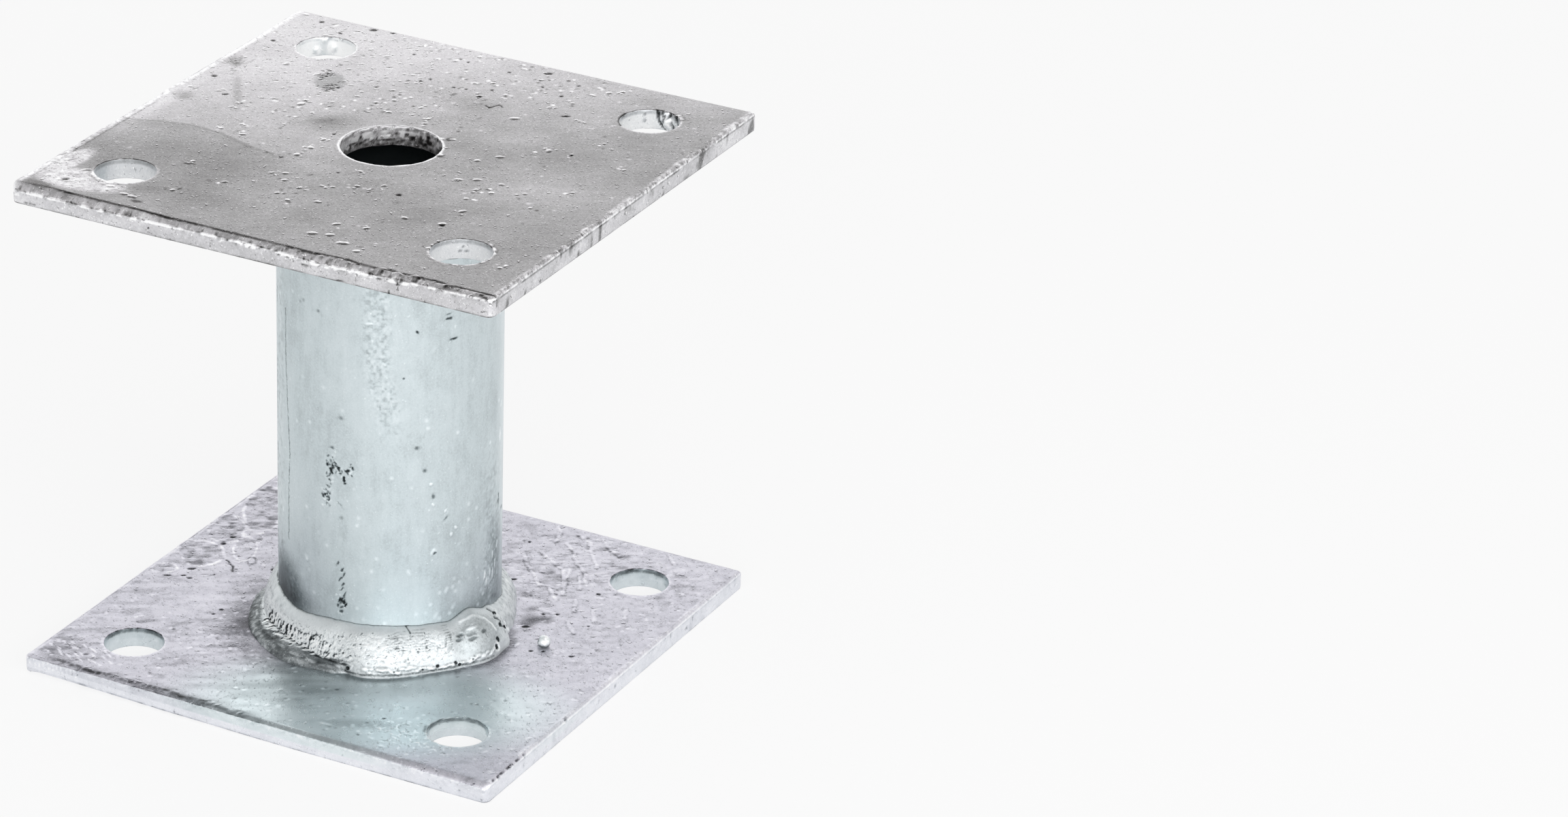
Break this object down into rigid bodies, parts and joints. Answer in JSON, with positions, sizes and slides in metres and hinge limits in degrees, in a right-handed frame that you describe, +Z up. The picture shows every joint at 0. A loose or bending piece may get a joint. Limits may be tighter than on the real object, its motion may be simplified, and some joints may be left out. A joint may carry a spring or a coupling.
{
  "type": "post anchor",
  "caption": "Welded steel post anchor: a round tube between two square drilled plates, hot-dip galvanised.",
  "frame": {"origin": "centre of the base plate's underside", "axes": "+Z up along the tube, +X and +Y along the plates' sides; the sheared sides run along X"},
  "size_m": [0.1, 0.1, 0.1],
  "materials": {
    "galvanised_plate": "hot-dip galvanised, matt and pitted",
    "galvanised_tube": "hot-dip galvanised, satin",
    "galvanised_weld": "hot-dip galvanised, bright and crinkled"
  },
  "bodies": {
    "root": {"base_plate": "galvanised_plate", "top_plate": "galvanised_plate", "tube": "galvanised_tube", "base_weld": "galvanised_weld", "top_weld": "galvanised_weld", "weld_spatter": "galvanised_weld"}
  },
  "joints": []
}
